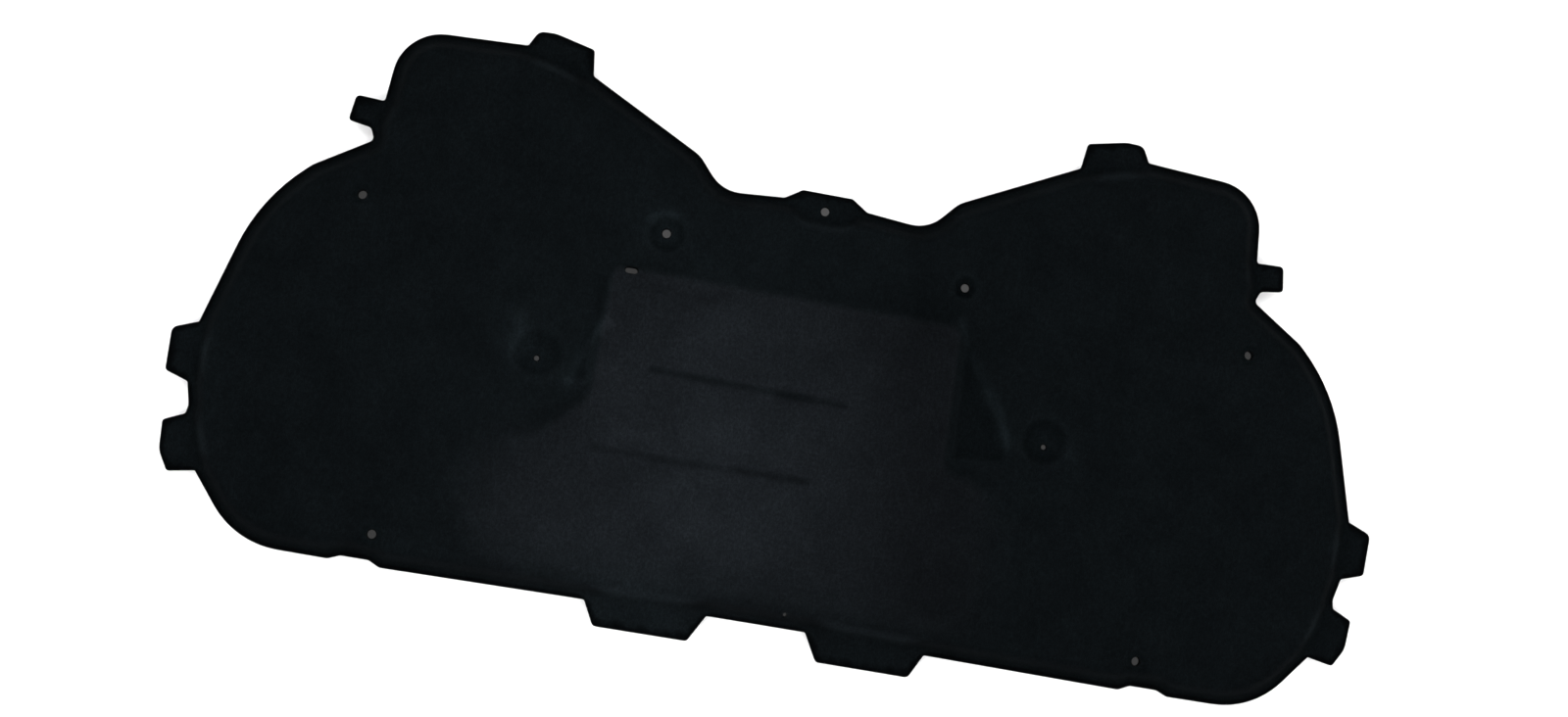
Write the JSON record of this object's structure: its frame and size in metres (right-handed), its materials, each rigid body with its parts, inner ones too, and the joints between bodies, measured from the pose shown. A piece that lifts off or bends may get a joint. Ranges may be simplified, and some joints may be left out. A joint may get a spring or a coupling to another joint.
{
  "type": "hood insulation pad",
  "caption": "Moulded black felt pad with edge tabs and clip holes that lines the underside of a car's hood to damp noise and heat.",
  "frame": {"origin": "middle of the flat back face, on the surface the pad lies on", "axes": "+X along the pad's width to the right of the picture, +Y towards the notched edge at the top of the picture, +Z out of the face that looks at the engine"},
  "size_m": [1.2998, 0.6124, 0.017],
  "materials": {
    "felt": "matt pressed fibre felt with a non-woven facing"
  },
  "bodies": {
    "root": {"hood_insulation_pad": "felt"}
  },
  "joints": []
}
